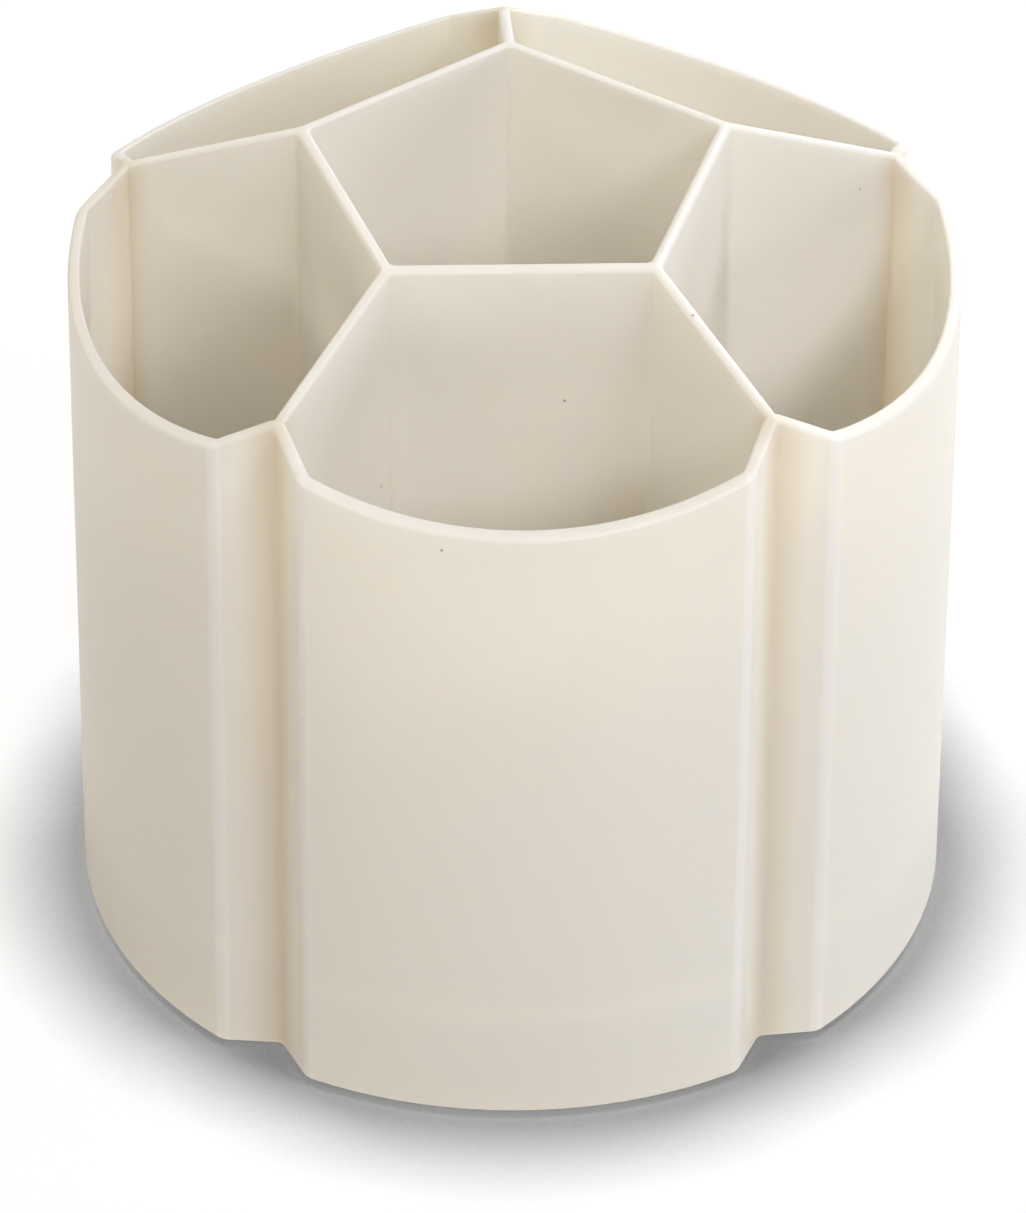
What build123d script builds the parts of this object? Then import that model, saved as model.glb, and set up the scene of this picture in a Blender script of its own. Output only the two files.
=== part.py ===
from build123d import *
import os
from math import cos, radians, sin, tan

# A rotating pen holder: a moulded tub with six compartments on a roller turntable.
# Millimetres, +Z up, origin on the desk under the turning axis, front towards -Y.

# Tub outline, seen from above
compartments = 5
front_angle = -90.0
outer_radius = 65.0
bow_half_angle = 29.25
groove_depth = 4.9
corner_fillet = 3.0
groove_fillet = 1.6
outer_wall = 1.8
rib_wall = 1.7
core_apothem = 25.4
core_wall = 1.7
pocket_fillet = 1.2

# Tub heights above the desk, and the rim
skirt_edge = 1.5
rim_height = 125.0
rim_slope = 27.25
floor_top = 20.0
floor_thickness = 2.0

# Moulded under the tub's floor
skirt_rib_wall = 1.5
skirt_rib_gap = 0.3
spigot_wall = 1.6
spigot_gap = 0.4
spigot_setback = 0.3
boss_radius = 7.0
boss_roof = 1.0
screw_boss_radius = 3.2

# Foot pads
pad_radius = 5.0
pad_height = 1.0
pad_inset = 2.4

# Base disc, with room between its rim and the skirt's grooves
base_gap = 4.3
base_plate = 2.2
base_rim_wall = 1.6
base_rim_height = 3.0
base_rib_wall = 1.4
base_rib_height = 2.0
hub_radius = 10.5
hub_web = 3.4

# Rollers, their pins and the notched ears that carry them
roller_radius = 3.5
roller_width = 4.0
roller_inset = 12.0
roller_floor_gap = 0.5
roller_side_gap = 0.25
roller_bore_gap = 0.08
pin_radius = 1.0
pin_fit = 0.02
pin_overhang = 0.2
ear_wall = 2.0
ear_rise = 2.4
ear_head = 5.6
ear_foot = 9.0

# Track plate, a ring that turns on the rollers
track_gap = 0.05
track_margin = 3.5
track_width = 19.5
track_plate_thickness = 1.8

# Plate screws
screw_inset = 5.0
screw_shank_radius = 1.25
screw_head_radius = 2.4
screw_head_height = 1.6
screw_reach = 6.2
screw_fit = 0.05
screw_hole_gap = 0.25

# Centre pivot
bush_radius = 4.0
bush_bore_gap = 0.2
hub_bore_gap = 0.08
hub_play = 0.1
washer_radius = 6.5
washer_thickness = 1.0
pivot_shank_radius = 1.5
pivot_head_radius = 3.0
pivot_head_height = 1.9
pivot_head_depth = 0.4
pivot_reach = 9.0
pivot_recess_gap = 1.0

# Levels that follow from the sizes above
floor_underside = floor_top - floor_thickness
base_bottom = pad_height
base_top = base_bottom + base_plate
roller_axis = base_top + roller_floor_gap + roller_radius
ear_top = roller_axis + ear_rise
track_underside = roller_axis + roller_radius + track_gap
plate_top = track_underside + track_plate_thickness
spigot_edge = track_underside + spigot_setback
washer_bottom = base_bottom + pivot_head_depth + pivot_head_height
washer_top = washer_bottom + washer_thickness
hub_underside = washer_top + hub_play
hub_top = hub_underside + hub_web
boss_face = hub_top + hub_play

# Radii that follow
rim_fold = core_apothem + core_wall / 2
groove_radius = outer_radius - groove_depth
base_radius = groove_radius - outer_wall - base_gap
pad_pitch_radius = base_radius - pad_inset - pad_radius
roller_pitch_radius = base_radius - roller_inset
track_outer_radius = roller_pitch_radius + roller_width / 2 + track_margin
track_inner_radius = track_outer_radius - track_width
screw_pitch_radius = track_inner_radius + screw_inset
hub_bore_radius = bush_radius + hub_bore_gap
bush_bore_radius = pivot_shank_radius + bush_bore_gap
pivot_recess_radius = washer_radius + pivot_recess_gap
spigot_radius = track_inner_radius - spigot_gap

# Directions seen from above: a rib lies half a step from each compartment's axis
step = 360.0 / compartments
rib_angle = step / 2
rib_start = front_angle + rib_angle
compartment_angles = [front_angle + number * step for number in range(compartments)]

os.makedirs("parts", exist_ok=True)


def write(piece, label):
    """Name a finished piece and write its STEP file."""
    piece.label = label
    export_step(piece, f"parts/{label}.step")


def at(radius, angle):
    """A point in plan at a radius and an angle in degrees."""
    return (radius * cos(radians(angle)), radius * sin(radians(angle)))


def bar(inner, outer, width):
    """Plan of a straight bar along +X between two radii."""
    with BuildSketch() as plan:
        with Locations((inner, 0)):
            Rectangle(outer - inner, width, align=(Align.MIN, Align.CENTER))
    return plan.sketch


def screw(seat, head_radius, head_height, shank_radius, reach):
    """Pan-head screw on the Z axis, head down, its head's flat side at height seat."""
    with BuildPart() as body:
        with BuildSketch(Plane.XY.offset(seat - head_height)):
            Circle(head_radius)
        extrude(amount=head_height)
        with BuildSketch(Plane.XY.offset(seat)):
            Circle(shank_radius)
        extrude(amount=reach)
    return body.part


# Tub outline: five bowed walls, each with a flat to the V groove on either side
with BuildSketch() as petal:
    with BuildLine():
        Line((0, 0), at(groove_radius, -rib_angle))
        Line(at(groove_radius, -rib_angle), at(outer_radius, -bow_half_angle))
        CenterArc((0, 0), outer_radius, -bow_half_angle, 2 * bow_half_angle)
        Line(at(outer_radius, bow_half_angle), at(groove_radius, rib_angle))
        Line(at(groove_radius, rib_angle), (0, 0))
    make_face()

with BuildSketch() as outline:
    with PolarLocations(0, compartments, start_angle=front_angle):
        add(petal.sketch)
    corners = outline.vertices().sort_by_distance((0, 0, 0))[compartments:]
    fillet(corners, corner_fillet)
    grooves = outline.vertices().sort_by_distance((0, 0, 0))[:compartments]
    fillet(grooves, groove_fillet)

with BuildSketch() as inner_outline:
    add(outline.sketch)
    offset(amount=-outer_wall)

# One outer compartment along +X: between its two ribs, beyond the core's flat wall
pocket_start = core_apothem + core_wall
rib_side = rib_wall / 2 / cos(radians(rib_angle))
pocket_narrow = pocket_start * tan(radians(rib_angle)) - rib_side
pocket_wide = outer_radius * tan(radians(rib_angle)) - rib_side

with BuildSketch() as pocket:
    with Locations(Location((0, 0, 0), (0, 0, -front_angle))):
        add(inner_outline.sketch)
    with BuildLine():
        Polyline(
            (pocket_start, -pocket_narrow),
            (outer_radius, -pocket_wide),
            (outer_radius, pocket_wide),
            (pocket_start, pocket_narrow),
            close=True,
        )
    make_face(mode=Mode.INTERSECT)
    fillet(pocket.vertices().group_by(Axis.X)[0], pocket_fillet)

with BuildSketch() as core:
    RegularPolygon(core_apothem, compartments, major_radius=False, rotation=rib_start)
    fillet(core.vertices(), pocket_fillet)

# The tub
with BuildPart() as pen_tub:
    with BuildSketch(Plane.XY.offset(skirt_edge)):
        add(outline.sketch)
    extrude(amount=rim_height - skirt_edge)
    # The rim falls outwards from the core's walls, in one plane per compartment
    for angle in compartment_angles:
        fall = at(sin(radians(rim_slope)), angle)
        rim_plane = Plane((*at(rim_fold, angle), rim_height), z_dir=(*fall, cos(radians(rim_slope))))
        split(bisect_by=rim_plane, keep=Keep.BOTTOM)
    with BuildSketch(Plane.XY.offset(rim_height)):
        with PolarLocations(0, compartments, start_angle=front_angle):
            add(pocket.sketch)
        add(core.sketch)
    extrude(amount=floor_top - rim_height, mode=Mode.SUBTRACT)
    # Hollow skirt, then the ribs, spigot and bosses under the floor
    with BuildSketch(Plane.XY.offset(skirt_edge)):
        add(inner_outline.sketch)
    extrude(amount=floor_underside - skirt_edge, mode=Mode.SUBTRACT)
    with BuildSketch(Plane.XY.offset(plate_top + skirt_rib_gap)):
        with PolarLocations(0, compartments, start_angle=rib_start):
            add(bar(0, groove_radius - outer_wall, skirt_rib_wall))
    extrude(amount=floor_underside - plate_top - skirt_rib_gap)
    with BuildSketch(Plane.XY.offset(spigot_edge)):
        Circle(spigot_radius)
        Circle(spigot_radius - spigot_wall, mode=Mode.SUBTRACT)
        with PolarLocations(0, compartments, start_angle=rib_start):
            add(bar(0, spigot_radius - spigot_wall / 2, skirt_rib_wall))
    extrude(amount=floor_underside - spigot_edge)
    with BuildSketch(Plane.XY.offset(plate_top)):
        with PolarLocations(screw_pitch_radius, compartments, start_angle=rib_start):
            Circle(screw_boss_radius)
    extrude(amount=floor_underside - plate_top)
    with BuildSketch(Plane.XY.offset(boss_face)):
        Circle(boss_radius)
    extrude(amount=floor_underside - boss_face)
    with BuildSketch(Plane.XY.offset(plate_top)):
        with PolarLocations(screw_pitch_radius, compartments, start_angle=rib_start):
            Circle(screw_shank_radius + screw_fit)
    extrude(amount=floor_top - boss_roof - plate_top, mode=Mode.SUBTRACT)
    with BuildSketch(Plane.XY.offset(boss_face)):
        Circle(pivot_shank_radius + screw_fit)
    extrude(amount=floor_top - boss_roof - boss_face, mode=Mode.SUBTRACT)
write(pen_tub.part, "pen_tub")

# Ring screwed under the tub, with a flat underside that turns on the rollers
with BuildPart() as track_plate:
    with BuildSketch(Plane.XY.offset(track_underside)):
        Circle(track_outer_radius)
        Circle(track_inner_radius, mode=Mode.SUBTRACT)
        with PolarLocations(screw_pitch_radius, compartments, start_angle=rib_start):
            Circle(screw_shank_radius + screw_hole_gap, mode=Mode.SUBTRACT)
    extrude(amount=track_plate_thickness)
write(track_plate.part, "track_plate")

plate_screw = screw(
    track_underside, screw_head_radius, screw_head_height, screw_shank_radius, screw_reach
)
with BuildPart() as plate_screws:
    with PolarLocations(screw_pitch_radius, compartments, start_angle=rib_start):
        add(plate_screw)
write(plate_screws.part, "plate_screws")

# Centre pivot: the screw clamps washer and bush to the tub, and the hub turns on the bush
with BuildPart() as pivot_bush:
    with BuildSketch(Plane.XY.offset(washer_top)):
        Circle(bush_radius)
        Circle(bush_bore_radius, mode=Mode.SUBTRACT)
    extrude(amount=boss_face - washer_top)
write(pivot_bush.part, "pivot_bush")

with BuildPart() as pivot_washer:
    with BuildSketch(Plane.XY.offset(washer_bottom)):
        Circle(washer_radius)
        Circle(bush_bore_radius, mode=Mode.SUBTRACT)
    extrude(amount=washer_thickness)
write(pivot_washer.part, "pivot_washer")

pivot_length = boss_face + pivot_reach - washer_bottom
pivot_screw = screw(
    washer_bottom, pivot_head_radius, pivot_head_height, pivot_shank_radius, pivot_length
)
write(pivot_screw, "pivot_screw")

# Two ears for one roller along +X, joined to the base disc, with the pin in their notches
ear_offset = roller_width / 2 + roller_side_gap
notch_radius = pin_radius + pin_fit
with BuildPart() as ears:
    for start in (roller_pitch_radius - ear_offset - ear_wall, roller_pitch_radius + ear_offset):
        with BuildSketch(Plane.YZ.offset(start)):
            with BuildLine():
                Polyline(
                    (-ear_foot / 2, base_top),
                    (ear_foot / 2, base_top),
                    (ear_head / 2, ear_top),
                    (-ear_head / 2, ear_top),
                    close=True,
                )
            make_face()
            with Locations((0, roller_axis)):
                Circle(notch_radius, mode=Mode.SUBTRACT)
                Rectangle(
                    2 * notch_radius,
                    ear_top - roller_axis,
                    align=(Align.CENTER, Align.MIN),
                    mode=Mode.SUBTRACT,
                )
        extrude(amount=ear_wall)

with BuildPart() as base_disc:
    with BuildSketch(Plane.XZ):
        with BuildLine():
            Polyline(
                (hub_bore_radius, hub_underside),
                (pivot_recess_radius, hub_underside),
                (pivot_recess_radius, base_bottom),
                (base_radius, base_bottom),
                (base_radius, base_top + base_rim_height),
                (base_radius - base_rim_wall, base_top + base_rim_height),
                (base_radius - base_rim_wall, base_top),
                (hub_radius, base_top),
                (hub_radius, hub_top),
                (hub_bore_radius, hub_top),
                close=True,
            )
        make_face()
    revolve(axis=Axis.Z)
    with BuildSketch(Plane.XY.offset(base_top)):
        with PolarLocations(0, compartments, start_angle=rib_start):
            add(bar(hub_radius - base_rib_wall, base_radius - base_rim_wall / 2, base_rib_wall))
    extrude(amount=base_rib_height)
    with PolarLocations(0, compartments, start_angle=front_angle):
        add(ears.part)
write(base_disc.part, "base_disc")

# Rollers, pins and pads, one of each under every outer compartment
for number, angle in enumerate(compartment_angles, 1):
    centre = Vector(*at(roller_pitch_radius, angle), roller_axis)
    radial = Vector(*at(1, angle), 0)
    station = Plane(centre, z_dir=radial)
    with BuildPart() as roller:
        with BuildSketch(station):
            Circle(roller_radius)
            Circle(pin_radius + roller_bore_gap, mode=Mode.SUBTRACT)
        extrude(amount=roller_width / 2, both=True)
    write(roller.part, f"roller_{number}")

    pin_half = ear_offset + ear_wall + pin_overhang
    with BuildPart() as roller_pin:
        with BuildSketch(station):
            Circle(pin_radius)
        extrude(amount=pin_half, both=True)
    write(roller_pin.part, f"roller_pin_{number}")

    with BuildPart() as foot_pad:
        with BuildSketch(Plane(at(pad_pitch_radius, angle))):
            Circle(pad_radius)
        extrude(amount=pad_height)
    write(foot_pad.part, f"foot_pad_{number}")
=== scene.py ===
from math import atan2, cos, hypot, pi, radians, sin

import bmesh
import bpy
from mathutils import Matrix, Vector


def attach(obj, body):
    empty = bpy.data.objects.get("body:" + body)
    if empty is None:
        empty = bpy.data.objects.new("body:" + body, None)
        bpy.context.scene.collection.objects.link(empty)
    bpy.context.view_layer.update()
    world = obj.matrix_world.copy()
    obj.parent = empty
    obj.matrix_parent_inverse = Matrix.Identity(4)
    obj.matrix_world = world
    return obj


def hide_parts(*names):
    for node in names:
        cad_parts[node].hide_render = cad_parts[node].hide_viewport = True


# A cream moulded pen holder that turns on a hidden roller base.
# Metres, +Z up, the desk at zero, the front compartment towards -Y.
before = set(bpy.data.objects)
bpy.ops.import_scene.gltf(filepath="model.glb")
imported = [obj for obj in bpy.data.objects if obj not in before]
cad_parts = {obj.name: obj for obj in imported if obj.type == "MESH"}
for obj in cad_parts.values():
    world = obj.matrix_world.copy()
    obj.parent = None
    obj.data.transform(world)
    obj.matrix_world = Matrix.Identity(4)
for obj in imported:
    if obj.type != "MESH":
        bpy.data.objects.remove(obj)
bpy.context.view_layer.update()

mm = 0.001
compartments = 5
step = 2 * pi / compartments
front = -pi / 2

# How the camera stands to the holder
aim = Vector((-0.12, -5.81, 49.73)) * mm
camera_distance = 1246.2 * mm
camera_turn = radians(-1.91)
camera_pitch = radians(36.69)
camera_roll = radians(0.42)
camera_lens = 248.45
camera_sensor = 36.0

# The lamps: how far off they stand, how large they are and the height that they face
lamp_distance = 1600 * mm
lamp_size = 320 * mm
lamp_target = Vector((0, 0, 60 * mm))
cool = "#FEFDFF"
warm = "#FFF2DE"

# How strongly the white world lights the holder, and how strongly it is seen
sky_light = 0.03
sky_seen = 1.0

# The paper under it lies off centre, so that the line between its two triangles doesn't run
# under the holder
paper_size = 10.0
paper_middle = (1.5, -1.0, 0.0)

# The paper's contact shadow: how far it reaches, how much light is left where it is deepest, and
# the openness at which that is reached
contact_reach = 20 * mm
contact_depth = 0.23
contact_closed = 0.5
contact_samples = 6

# The paper as it is seen: the share that takes the lamps' light, and its own lift. The paper as
# the holder feels it: what it throws back and glows, so that the holder's foot isn't dim
paper_light = 0.18
paper_lift = 0.86
paper_bounce = 0.66
paper_glow = 0.26
paper_ivory = "#FFF9EF"

# Roundings that a mould or a tool leaves
rim_rounding = 0.45 * mm
skirt_rounding = 0.35 * mm
floor_fillet = 1.0 * mm
disc_rounding = 0.6 * mm
disc_edge_rounding = 0.2 * mm

# How meshes are cleaned up, and from which angle an edge is crisp or shaded sharp
weld = 0.002 * mm
flat_angle = radians(0.3)
sharp_angle = radians(50)
smooth_angle = radians(40)
thread_smooth_angle = radians(35)

# Levels of the construction model, and how near a point on a level lies to it
rim_above = 100 * mm
floor_level = 20 * mm
skirt_level = 1.5 * mm
disc_level = 1.0 * mm
disc_radius = 54 * mm
disc_wall_band = 0.5 * mm
track_level = 10.75 * mm
pivot_level = 3.3 * mm
screw_circle = 33 * mm
slack = 0.05 * mm

# The upward part of a face's normal: at least this on the falling rim and on a flat floor, and at
# most this on a wall
rim_up = 0.8
flat_up = 0.9
wall_up = 0.3

# The tub's upright outer corners and the grooves between them, in plan: radius and turn
corner_line = (64.85 * mm, radians(29.25))
groove_line = (60.6 * mm, step / 2)

# Where the painted highlight on the outer corners and the painted shade in the grooves start and
# stop to fade, and the colours that they paint
corner_highlight_fade = (0.6 * mm, 1.5 * mm)
groove_shade_fade = (0.3 * mm, 6.0 * mm)
painted_corner_highlight = "#FEFBF3"
painted_groove_shade = "#E2DACD"

# Flecks in the resin, drawn a little larger than life and moved so that a few show from the
# front: the share of the radius where they start to fade, and how much of the plastic's colour
# they cover
speck_spacing = 12 * mm
speck_radius = 0.3 * mm
speck_core = 0.5
speck_shift = (777 * mm, 0.0, 0.0)
speck_cover = 0.75
speck_colour = "#8B8172"

# How far light wanders in the plastic, and how much less of it in green and in blue
wall_glow = 4.5 * mm
wall_glow_colours = (1.0, 0.94, 0.82)

# Screws: sides, rows of points for each turn of thread, the thread's root as a share of the
# shank, the turns over which it narrows at its end, and the head's crown as shares of its height
screw_sides = 32
rows_per_turn = 6
thread_root = 0.76
tip_turns = 1.5
crown_from = 0.9
crown_rounding = 0.5
above_seat = 0.01 * mm

# A cross recess: length and width as shares of the head's radius, depth as a share of its
# height, and how much narrower its bottom is
recess_length = 1.1
recess_width = 0.3
recess_depth = 0.6
recess_taper = (0.45, 0.6, 1)

scene = bpy.context.scene


def settle():
    """Object mode, with nothing selected."""
    if bpy.context.object and bpy.context.object.mode != "OBJECT":
        bpy.ops.object.mode_set(mode="OBJECT")
    bpy.ops.object.select_all(action="DESELECT")


def work_on(piece):
    """Makes one piece the only selected and the active one."""
    settle()
    piece.select_set(True)
    bpy.context.view_layer.objects.active = piece


def bench_copy(node, name):
    """A welded copy of a construction node, its flat stretches joined up."""
    piece = bpy.data.objects.new(name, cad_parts[node].data.copy())
    scene.collection.objects.link(piece)
    piece.data.name = name
    piece.data.materials.clear()
    work_on(piece)
    bpy.ops.mesh.customdata_custom_splitnormals_clear()
    bpy.ops.object.mode_set(mode="EDIT")
    bpy.ops.mesh.select_all(action="SELECT")
    bpy.ops.mesh.remove_doubles(threshold=weld)
    bpy.ops.mesh.dissolve_limited(angle_limit=flat_angle)
    bpy.ops.object.mode_set(mode="OBJECT")
    return piece


def is_sharp(middle, normals, convex):
    """Any crisp outward edge."""
    return convex and normals[0].angle(normals[1], 0) > sharp_angle


def bevel_where(piece, wanted, offset, segments=3):
    """Rounds the edges that wanted(middle, normals, convex) picks, with an operator bevel."""
    work_on(piece)
    bpy.ops.object.mode_set(mode="EDIT")
    bpy.ops.mesh.select_mode(type="EDGE")
    bpy.ops.mesh.select_all(action="DESELECT")
    skin = bmesh.from_edit_mesh(piece.data)
    for edge in skin.edges:
        if len(edge.link_faces) == 2:
            middle = (edge.verts[0].co + edge.verts[1].co) / 2
            normals = [face.normal for face in edge.link_faces]
            edge.select = wanted(middle, normals, edge.is_convex)
    skin.select_flush_mode()
    bmesh.update_edit_mesh(piece.data)
    bpy.ops.mesh.bevel(offset=offset, segments=segments, profile=0.5, loop_slide=False)
    bpy.ops.object.mode_set(mode="OBJECT")


def pick_faces(piece, wanted):
    """Selects the faces of the piece in edit mode that wanted(centre, normal) picks."""
    bpy.ops.mesh.select_mode(type="FACE")
    bpy.ops.mesh.select_all(action="DESELECT")
    skin = bmesh.from_edit_mesh(piece.data)
    for face in skin.faces:
        face.select = wanted(face.calc_center_median(), face.normal)
    skin.select_flush_mode()
    bmesh.update_edit_mesh(piece.data)


def is_top(centre, normal):
    """A face that looks straight up."""
    return normal.z > flat_up


def smooth(piece, angle=smooth_angle):
    """Smooth shading up to an angle, with normals weighted by face area."""
    work_on(piece)
    bpy.ops.object.shade_smooth_by_angle(angle=angle)
    modifier = piece.modifiers.new("weighted", "WEIGHTED_NORMAL")
    modifier.keep_sharp = True
    bpy.ops.object.modifier_apply(modifier=modifier.name)


def finish_piece(piece, body, slot, material, *nodes):
    """Gives a piece its material and its body, and hides the nodes it stands for; the slot is not
    used.
    """
    piece.data.materials.clear()
    piece.data.materials.append(material)
    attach(piece, body)
    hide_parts(*nodes)


def linear(code):
    """An sRGB hex colour as linear red, green, blue and alpha."""
    values = [int(code[i:i + 2], 16) / 255 for i in (1, 3, 5)]
    steps = [v / 12.92 if v <= 0.04045 else ((v + 0.055) / 1.055) ** 2.4 for v in values]
    return (*steps, 1.0)


def add_node(tree, kind, settings=None, **inputs):
    """Adds a node, sets its properties, and links or sets its inputs by name or _number."""
    made = tree.nodes.new(kind)
    for key, value in (settings or {}).items():
        setattr(made, key, value)
    for key, value in inputs.items():
        numbered = key[1:].isdigit()
        socket = made.inputs[int(key[1:])] if numbered else made.inputs[key.replace("_", " ")]
        if isinstance(value, bpy.types.NodeSocket):
            tree.links.new(value, socket)
        else:
            socket.default_value = value
    return made


def new_material(name):
    """An empty node material, with its tree and output."""
    material = bpy.data.materials.new(name)
    material.use_nodes = True
    material.node_tree.nodes.clear()
    output = material.node_tree.nodes.new("ShaderNodeOutputMaterial")
    return material, material.node_tree, output


def beside_line(tree, place, line, reach):
    """One along an upright line, repeated round the tub, that fades out over a reach."""
    radius, turn = line
    along = add_node(tree, "ShaderNodeSeparateXYZ", Vector=place).outputs
    angle = add_node(tree, "ShaderNodeMath", {"operation": "ARCTAN2"}, _0=along["Y"], _1=along["X"])
    across = angle.outputs[0]
    # The angle from the front, folded onto half a compartment, then the way round from the line
    fold = [("SUBTRACT", front), ("PINGPONG", step / 2), ("SUBTRACT", turn), ("MULTIPLY", radius)]
    for operation, value in fold:
        made = add_node(tree, "ShaderNodeMath", {"operation": operation}, _0=across, _1=value)
        across = made.outputs[0]
    flat = add_node(tree, "ShaderNodeCombineXYZ", _0=along["X"], _1=along["Y"])
    from_axis = add_node(tree, "ShaderNodeVectorMath", {"operation": "LENGTH"}, _0=flat.outputs[0])
    outwards = add_node(
        tree,
        "ShaderNodeMath",
        {"operation": "SUBTRACT"},
        _0=from_axis.outputs["Value"],
        _1=radius,
    )
    offset = add_node(tree, "ShaderNodeCombineXYZ", _0=across, _1=outwards.outputs[0])
    away = add_node(tree, "ShaderNodeVectorMath", {"operation": "LENGTH"}, _0=offset.outputs[0])
    share = add_node(
        tree,
        "ShaderNodeMapRange",
        {"interpolation_type": "SMOOTHSTEP"},
        Value=away.outputs["Value"],
        From_Min=reach[0],
        From_Max=reach[1],
        To_Min=1.0,
        To_Max=0.0,
    )
    return share.outputs[0]


def moulded_plastic(name, pale, deep, roughness, sheer, cloud, grain, painted_light_and_flecks=False):
    """Injection moulded plastic, satin from the mould's eroded faces.

    The eye sees a soft broad sheen, a tone that drifts a little over a few centimetres, a fine
    grain and a warm glow where the wall is thin. With painted light on, its outer corners get a
    painted highlight, paler, its grooves a painted shade, darker, and a dark resin fleck shows
    here and there.
    """
    spread = 0.05
    material, tree, output = new_material(name)
    place = add_node(tree, "ShaderNodeTexCoord").outputs["Object"]
    drift = add_node(
        tree, "ShaderNodeTexNoise", Vector=place, Scale=1 / cloud, Detail=3.0, Roughness=0.55
    )
    mixed = add_node(
        tree,
        "ShaderNodeMix",
        {"data_type": "RGBA"},
        _0=drift.outputs["Fac"],
        _6=linear(deep),
        _7=linear(pale),
    )
    colour = mixed.outputs[2]
    if painted_light_and_flecks:
        moved = add_node(
            tree, "ShaderNodeVectorMath", {"operation": "ADD"}, _0=place, _1=speck_shift
        )
        cells = add_node(
            tree, "ShaderNodeTexVoronoi", Vector=moved.outputs[0], Scale=1 / speck_spacing
        )
        near = add_node(
            tree,
            "ShaderNodeMapRange",
            Value=cells.outputs["Distance"],
            From_Min=speck_core * speck_radius / speck_spacing,
            From_Max=speck_radius / speck_spacing,
            To_Min=speck_cover,
            To_Max=0.0,
        )
        # Painted shade darkens the grooves and a painted highlight lightens the outer corners; the
        # flecks are the resin's own
        layers = [
            (beside_line(tree, place, groove_line, groove_shade_fade), painted_groove_shade),
            (beside_line(tree, place, corner_line, corner_highlight_fade), painted_corner_highlight),
            (near.outputs[0], speck_colour),
        ]
        for share, code in layers:
            mixed = add_node(
                tree,
                "ShaderNodeMix",
                {"data_type": "RGBA"},
                _0=share,
                _6=colour,
                _7=linear(code),
            )
            colour = mixed.outputs[2]
    fine = add_node(
        tree, "ShaderNodeTexNoise", Vector=place, Scale=1 / grain, Detail=2.0, Roughness=0.6
    )
    sheen = add_node(
        tree,
        "ShaderNodeMapRange",
        Value=fine.outputs["Fac"],
        To_Min=roughness - spread,
        To_Max=roughness + spread,
    )
    relief = add_node(
        tree, "ShaderNodeBump", Height=fine.outputs["Fac"], Strength=0.12, Distance=0.02 * mm
    )
    shader = add_node(
        tree,
        "ShaderNodeBsdfPrincipled",
        Base_Color=colour,
        Roughness=sheen.outputs[0],
        IOR=1.49,
        Subsurface_Weight=sheer,
        Subsurface_Radius=wall_glow_colours,
        Subsurface_Scale=wall_glow,
        Normal=relief.outputs[0],
    )
    tree.links.new(shader.outputs[0], output.inputs["Surface"])
    return material


def turned_steel(name, colour, roughness, spacing):
    """Steel turned or ground round the vertical axis: fine rings that draw the light out."""
    spread = 0.06
    material, tree, output = new_material(name)
    place = add_node(tree, "ShaderNodeTexCoord").outputs["Object"]
    rings = add_node(
        tree,
        "ShaderNodeTexWave",
        {"wave_type": "RINGS", "rings_direction": "Z"},
        Vector=place,
        Scale=1 / spacing,
        Distortion=1.5,
        Detail=2.0,
    )
    relief = add_node(
        tree, "ShaderNodeBump", Height=rings.outputs["Fac"], Strength=0.25, Distance=0.02 * mm
    )
    sheen = add_node(
        tree,
        "ShaderNodeMapRange",
        Value=rings.outputs["Fac"],
        To_Min=roughness - spread,
        To_Max=roughness + spread,
    )
    shader = add_node(
        tree,
        "ShaderNodeBsdfPrincipled",
        Base_Color=linear(colour),
        Metallic=1.0,
        Roughness=sheen.outputs[0],
        Normal=relief.outputs[0],
    )
    tree.links.new(shader.outputs[0], output.inputs["Surface"])
    return material


def zinc_plate(name):
    """Steel plated with bright zinc: pale and faintly blue, clouded where the bath was uneven."""
    cloud = 1.5 * mm
    material, tree, output = new_material(name)
    place = add_node(tree, "ShaderNodeTexCoord").outputs["Object"]
    clouds = add_node(
        tree, "ShaderNodeTexNoise", Vector=place, Scale=1 / cloud, Detail=4.0, Roughness=0.6
    )
    colour = add_node(
        tree,
        "ShaderNodeMix",
        {"data_type": "RGBA"},
        _0=clouds.outputs["Fac"],
        _6=linear("#B9BDC4"),
        _7=linear("#D6D8DA"),
    )
    sheen = add_node(
        tree, "ShaderNodeMapRange", Value=clouds.outputs["Fac"], To_Min=0.22, To_Max=0.42
    )
    shader = add_node(
        tree,
        "ShaderNodeBsdfPrincipled",
        Base_Color=colour.outputs[2],
        Metallic=1.0,
        Roughness=sheen.outputs[0],
    )
    tree.links.new(shader.outputs[0], output.inputs["Surface"])
    return material


def moulded_rubber(name):
    """Moulded EPDM rubber: nearly black, matt, with a fine pebbled skin and a little dust."""
    pebble = 0.35 * mm
    patch = 2.5 * mm
    material, tree, output = new_material(name)
    place = add_node(tree, "ShaderNodeTexCoord").outputs["Object"]
    pebbles = add_node(tree, "ShaderNodeTexVoronoi", Vector=place, Scale=1 / pebble)
    dust = add_node(
        tree, "ShaderNodeTexNoise", Vector=place, Scale=1 / patch, Detail=4.0, Roughness=0.65
    )
    share = add_node(
        tree, "ShaderNodeMapRange", Value=dust.outputs["Fac"], From_Min=0.45, From_Max=0.8
    )
    colour = add_node(
        tree,
        "ShaderNodeMix",
        {"data_type": "RGBA"},
        _0=share.outputs[0],
        _6=linear("#2A2928"),
        _7=linear("#45423E"),
    )
    relief = add_node(
        tree, "ShaderNodeBump", Height=pebbles.outputs["Distance"], Strength=0.4, Distance=0.06 * mm
    )
    shader = add_node(
        tree,
        "ShaderNodeBsdfPrincipled",
        Base_Color=colour.outputs[2],
        Roughness=0.82,
        IOR=1.52,
        Normal=relief.outputs[0],
    )
    tree.links.new(shader.outputs[0], output.inputs["Surface"])
    return material


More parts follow.
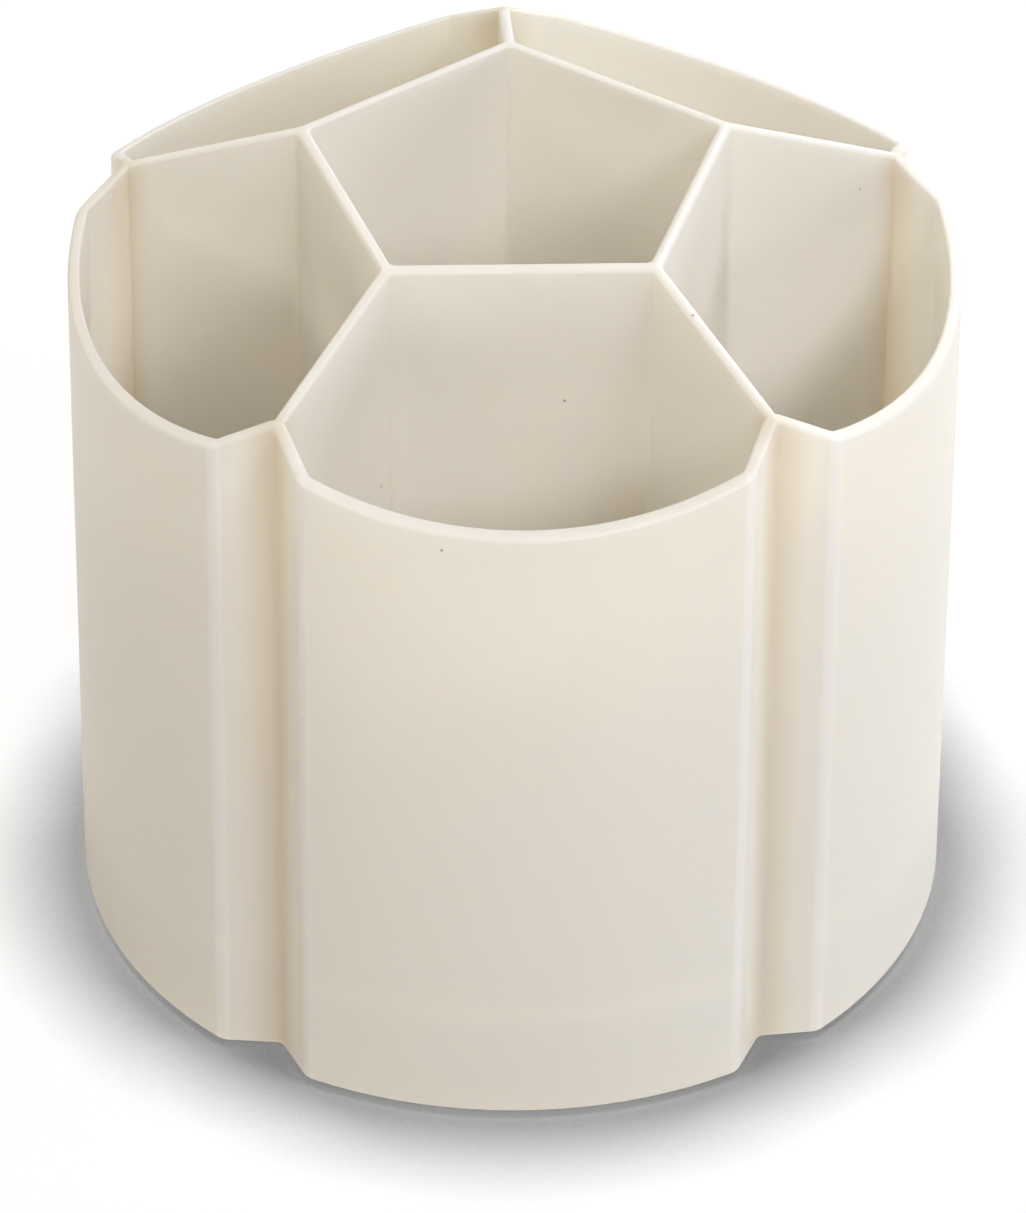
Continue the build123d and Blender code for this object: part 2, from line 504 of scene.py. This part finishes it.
cream = moulded_plastic(
    "cream_polypropylene",
    pale="#FAF5EC",
    deep="#F7F1E6",
    roughness=0.42,
    sheer=1.0,
    cloud=30 * mm,
    grain=0.5 * mm,
    # The tub's plastic gets painted shade in its grooves, a painted highlight on its corners, and
    # flecks
    painted_light_and_flecks=True,
)
base_cream = moulded_plastic(
    "base_polypropylene",
    pale="#EAE3D6",
    deep="#E4DCCD",
    roughness=0.5,
    sheer=0.2,
    cloud=25 * mm,
    grain=0.5 * mm,
)
acetal = moulded_plastic(
    "natural_acetal",
    pale="#ECECE7",
    deep="#E6E6E0",
    roughness=0.3,
    sheer=0.3,
    cloud=12 * mm,
    grain=0.3 * mm,
)
nylon = moulded_plastic(
    "roller_nylon",
    pale="#F0F0EA",
    deep="#E9E8E0",
    roughness=0.34,
    sheer=0.3,
    cloud=4 * mm,
    grain=0.25 * mm,
)
pin_steel = turned_steel("ground_pin_steel", colour="#BFC0C2", roughness=0.28, spacing=0.12 * mm)
pivot_steel = turned_steel(
    "turned_pivot_steel", colour="#B6B7B9", roughness=0.32, spacing=0.25 * mm
)
zinc = zinc_plate("zinc_plated_steel")
rubber = moulded_rubber("black_pad_rubber")


# The tub
def is_rim(middle, normals, convex):
    """Between a wall and the top of the rim."""
    up = sorted(normal.z for normal in normals)
    return middle.z > rim_above and up[1] > rim_up and up[0] < wall_up


def is_skirt_edge(middle, normals, convex):
    """Between a wall and the underside of the skirt."""
    up = sorted(normal.z for normal in normals)
    return abs(middle.z - skirt_level) < slack and up[0] < -flat_up and up[1] > -wall_up


def is_floor_corner(middle, normals, convex):
    """Between a compartment's floor and its walls."""
    up = sorted(normal.z for normal in normals)
    return abs(middle.z - floor_level) < slack and up[1] > flat_up and up[0] < wall_up


tub = bench_copy("pen_tub", "tub_moulding")
bevel_where(tub, is_rim, rim_rounding, segments=4)
bevel_where(tub, is_skirt_edge, skirt_rounding)
bevel_where(tub, is_floor_corner, floor_fillet)
smooth(tub)
finish_piece(tub, "tub", "tub_plastic", cream, "pen_tub")


# The base disc, its lower edge rounded more than the rest
def is_disc_foot(middle, normals, convex):
    """Between the disc's outer wall and its underside."""
    low = abs(middle.z - disc_level) < slack
    return low and convex and hypot(middle.x, middle.y) > disc_radius - disc_wall_band


disc = bench_copy("base_disc", "turntable_base")
bevel_where(disc, is_disc_foot, disc_rounding, segments=4)
bevel_where(disc, is_sharp, disc_edge_rounding, segments=2)
smooth(disc)
finish_piece(disc, "base", "base_plastic", base_cream, "base_disc")

# The plain turned and moulded pieces: node, name, body, slot, material, edge rounding in mm
numbers = range(1, compartments + 1)
plain_pieces = [
    ("track_plate", "running_ring", "tub", "running_plastic", acetal, 0.3),
    ("pivot_bush", "pivot_sleeve", "tub", "pivot_steel", pivot_steel, 0.15),
    ("pivot_washer", "thrust_washer", "tub", "pivot_steel", pivot_steel, 0.12),
]
for n in numbers:
    plain_pieces += [
        (f"roller_{n}", f"roller_wheel_{n}", f"roller_{n}", "roller_plastic", nylon, 0.35),
        (f"roller_pin_{n}", f"roller_axle_{n}", "base", "pin_steel", pin_steel, 0.2),
        (f"foot_pad_{n}", f"rubber_foot_{n}", "base", "pad_rubber", rubber, 0.25),
    ]
for node, name, body, slot, material, rounding in plain_pieces:
    piece = bench_copy(node, name)
    bevel_where(piece, is_sharp, rounding * mm)
    smooth(piece)
    finish_piece(piece, body, slot, material, node)


# Screws, with heads, cross recesses and threads that the construction model leaves out
def cut_slot(piece, length, width, depth, face, turn):
    """Cuts one tapered arm pair of a cross recess upwards into a head's flat face."""
    settle()
    bpy.ops.mesh.primitive_cube_add(size=1, location=(0, 0, face), scale=(length, width, 2 * depth))
    cutter = bpy.context.object
    bpy.ops.object.transform_apply(location=True, rotation=True, scale=True)
    bpy.ops.object.mode_set(mode="EDIT")
    pick_faces(cutter, is_top)
    bpy.ops.transform.resize(value=recess_taper, center_override=(0, 0, face + depth))
    bpy.ops.object.mode_set(mode="OBJECT")
    cutter.data.transform(Matrix.Rotation(turn, 4, "Z"))
    work_on(piece)
    cut = piece.modifiers.new("recess", "BOOLEAN")
    cut.operation = "DIFFERENCE"
    cut.object = cutter
    bpy.ops.object.modifier_apply(modifier=cut.name)
    bpy.data.objects.remove(cutter)


def pan_head_screw(name, head, shank, reach, pitch, plain, point):
    """A screw on the Z axis, head down, its seat at zero. The head is (radius, height).

    The shank is plain up to a length, then threaded, and narrows to a share of itself at its end.
    """
    radius, height = head
    settle()
    bpy.ops.mesh.primitive_cylinder_add(
        vertices=screw_sides, radius=radius, depth=height, location=(0, 0, -height / 2)
    )
    piece = bpy.context.object
    piece.name = piece.data.name = name
    bpy.ops.object.transform_apply(location=True, rotation=True, scale=True)
    bpy.ops.object.mode_set(mode="EDIT")
    pick_faces(piece, is_top)
    bpy.ops.mesh.inset(thickness=radius - shank)
    rows = round(rows_per_turn * reach / pitch)
    for _ in range(rows):
        bpy.ops.mesh.extrude_region_move(TRANSFORM_OT_translate={"value": (0, 0, reach / rows)})
    bpy.ops.object.mode_set(mode="OBJECT")
    root = thread_root * shank
    tip = tip_turns * pitch
    for vertex in piece.data.vertices:
        x, y, z = vertex.co
        if z > above_seat:
            turn = (z / pitch - atan2(y, x) / (2 * pi)) % 1
            crest = 1 - abs(2 * turn - 1)
            cut = min(1, max(0, (z - plain) / pitch))
            end = min(1, max(0, (z - reach + tip) / tip))
            thread = (1 - cut) + cut * (root + (shank - root) * crest) / shank
            share = thread * (1 - (1 - point) * end)
            vertex.co = (x * share, y * share, z)

    def is_crown(middle, normals, convex):
        """The head's own rim, away from its seat."""
        return middle.z < -crown_from * height and is_sharp(middle, normals, convex)

    bevel_where(piece, is_crown, crown_rounding * height, segments=5)
    length, width, depth = recess_length * radius, recess_width * radius, recess_depth * height
    for turn in (0, pi / 2):
        cut_slot(piece, length, width, depth, face=-height, turn=turn)
    smooth(piece, thread_smooth_angle)
    return piece


def set_down(model, name, place):
    """A copy of a piece with its own mesh, moved to its place."""
    copied = bpy.data.objects.new(name, model.data.copy())
    scene.collection.objects.link(copied)
    copied.data.name = name
    copied.data.transform(Matrix.Translation(place))
    return copied


plate_screw = pan_head_screw(
    "plate_screw",
    head=(2.4 * mm, 1.6 * mm),
    shank=1.25 * mm,
    reach=6.2 * mm,
    pitch=1.1 * mm,
    plain=1.8 * mm,
    point=0.3,
)
screws = []
for n in numbers:
    angle = front + (n - 0.5) * step
    place = Vector((screw_circle * cos(angle), screw_circle * sin(angle), track_level))
    screws.append(set_down(plate_screw, f"plate_screw_{n}", place))
settle()
for piece in screws:
    piece.select_set(True)
bpy.context.view_layer.objects.active = screws[0]
bpy.ops.object.join()
screws[0].name = screws[0].data.name = "ring_screws"
finish_piece(screws[0], "tub", "screw_steel", zinc, "plate_screws")
bpy.data.objects.remove(plate_screw)

centre_screw = pan_head_screw(
    "centre_screw",
    head=(3.0 * mm, 1.9 * mm),
    shank=1.5 * mm,
    reach=13.6 * mm,
    pitch=1.2 * mm,
    plain=4.8 * mm,
    point=0.6,
)
pivot = set_down(centre_screw, "pivot_bolt", Vector((0, 0, pivot_level)))
finish_piece(pivot, "tub", "screw_steel", zinc, "pivot_screw")
bpy.data.objects.remove(centre_screw)

# Camera, lamps, floor and world
camera_data = bpy.data.cameras.new("camera")
camera_data.sensor_fit = "VERTICAL"
camera_data.sensor_height = camera_sensor
camera_data.lens = camera_lens
camera = bpy.data.objects.new("camera", camera_data)
scene.collection.objects.link(camera)
stand = Matrix.Rotation(camera_turn, 4, "Z") @ Matrix.Rotation(pi / 2 - camera_pitch, 4, "X")
turned = stand @ Matrix.Rotation(camera_roll, 4, "Z")
back = turned.to_3x3() @ Vector((0, 0, 1))
camera.matrix_world = Matrix.Translation(aim + back * camera_distance) @ turned
scene.camera = camera


def soft_lamp(name, azimuth, elevation, power, colour):
    """A square lamp that faces the holder. Azimuth 0 is in front of it and 90 on its right."""
    data = bpy.data.lights.new(name, "AREA")
    data.size = lamp_size
    data.energy = power
    data.color = linear(colour)[:3]
    lamp = bpy.data.objects.new(name, data)
    scene.collection.objects.link(lamp)
    a, e = radians(azimuth), radians(elevation)
    away = Vector((sin(a) * cos(e), -cos(a) * cos(e), sin(e)))
    lamp.location = lamp_target + away * lamp_distance
    lamp.rotation_euler = away.to_track_quat("Z", "Y").to_euler()


# Soft lamps all round, white on the right and warmer on the left: azimuth, elevation and watts
for name, azimuth, elevation, power, colour in (
    ("front_key", 18, 34, 5.6, cool),
    ("right_key", 52, 50, 6.3, cool),
    ("right_low", 90, 12, 3.8, cool),
    ("right_back", 130, 50, 6.9, cool),
    ("back_low", 150, 12, 6.4, cool),
    ("left_back", -135, 50, 6.7, warm),
    ("left_low", -62, 20, 3.2, warm),
    ("front_high", -10, 50, 3.5, warm),
):
    soft_lamp(name, azimuth, elevation, power, colour)


def seen_or_reflected(tree):
    """One for a ray from the camera, a reflection or something clear, otherwise nought."""
    path = add_node(tree, "ShaderNodeLightPath").outputs
    share = path["Is Camera Ray"]
    for kind in ("Is Glossy Ray", "Is Transmission Ray"):
        both = add_node(tree, "ShaderNodeMath", {"operation": "MAXIMUM"}, _0=share, _1=path[kind])
        share = both.outputs[0]
    return share


# White studio paper, uncoated and matt: burnt out to white where the light is full, with a soft
# contact shadow close to the holder
bpy.ops.mesh.primitive_plane_add(size=paper_size, location=paper_middle)
bpy.ops.object.transform_apply(location=True, rotation=False, scale=False)
floor = bpy.context.object
floor.name = "floor"
paper, tree, output = new_material("studio_paper")
ivory = Vector(linear(paper_ivory)[:3])
thrown = add_node(tree, "ShaderNodeBsdfDiffuse", Color=(*(ivory * paper_bounce), 1))
glow = add_node(tree, "ShaderNodeEmission", Color=(*ivory, 1), Strength=paper_glow)
bounce = add_node(tree, "ShaderNodeAddShader", _0=thrown.outputs[0], _1=glow.outputs[0])
nearby = add_node(
    tree, "ShaderNodeAmbientOcclusion", {"samples": contact_samples}, Distance=contact_reach
)
shade = add_node(
    tree,
    "ShaderNodeMapRange",
    Value=nearby.outputs["AO"],
    From_Min=contact_closed,
    From_Max=1.0,
    To_Min=contact_depth,
    To_Max=1.0,
)
grey = add_node(
    tree, "ShaderNodeCombineColor", _0=shade.outputs[0], _1=shade.outputs[0], _2=shade.outputs[0]
)
dim = add_node(
    tree,
    "ShaderNodeMix",
    {"data_type": "RGBA"},
    _0=paper_light,
    _6=(0, 0, 0, 1),
    _7=grey.outputs[0],
)
lit = add_node(tree, "ShaderNodeBsdfDiffuse", Color=dim.outputs[2])
lift = add_node(tree, "ShaderNodeEmission", Color=grey.outputs[0], Strength=paper_lift)
both = add_node(tree, "ShaderNodeAddShader", _0=lit.outputs[0], _1=lift.outputs[0])
surface = add_node(
    tree,
    "ShaderNodeMixShader",
    _0=seen_or_reflected(tree),
    _1=bounce.outputs[0],
    _2=both.outputs[0],
)
# Seen from underneath, the paper is clear, so that the base shows
below = add_node(tree, "ShaderNodeNewGeometry").outputs["Backfacing"]
clear = add_node(tree, "ShaderNodeBsdfTransparent")
sided = add_node(
    tree, "ShaderNodeMixShader", _0=below, _1=surface.outputs[0], _2=clear.outputs[0]
)
tree.links.new(sided.outputs[0], output.inputs["Surface"])
floor.data.materials.append(paper)

# A plain white world, that lights the holder only faintly
world = bpy.data.worlds.new("studio")
scene.world = world
world.use_nodes = True
tree = world.node_tree
tree.nodes.clear()
sky = add_node(tree, "ShaderNodeBackground", Color=(1, 1, 1, 1), Strength=sky_light)
plain = add_node(tree, "ShaderNodeBackground", Color=(1, 1, 1, 1), Strength=sky_seen)
output = add_node(tree, "ShaderNodeOutputWorld")
around = add_node(
    tree,
    "ShaderNodeMixShader",
    _0=seen_or_reflected(tree),
    _1=sky.outputs[0],
    _2=plain.outputs[0],
)
tree.links.new(around.outputs[0], output.inputs["Surface"])

scene.view_settings.view_transform = "Standard"
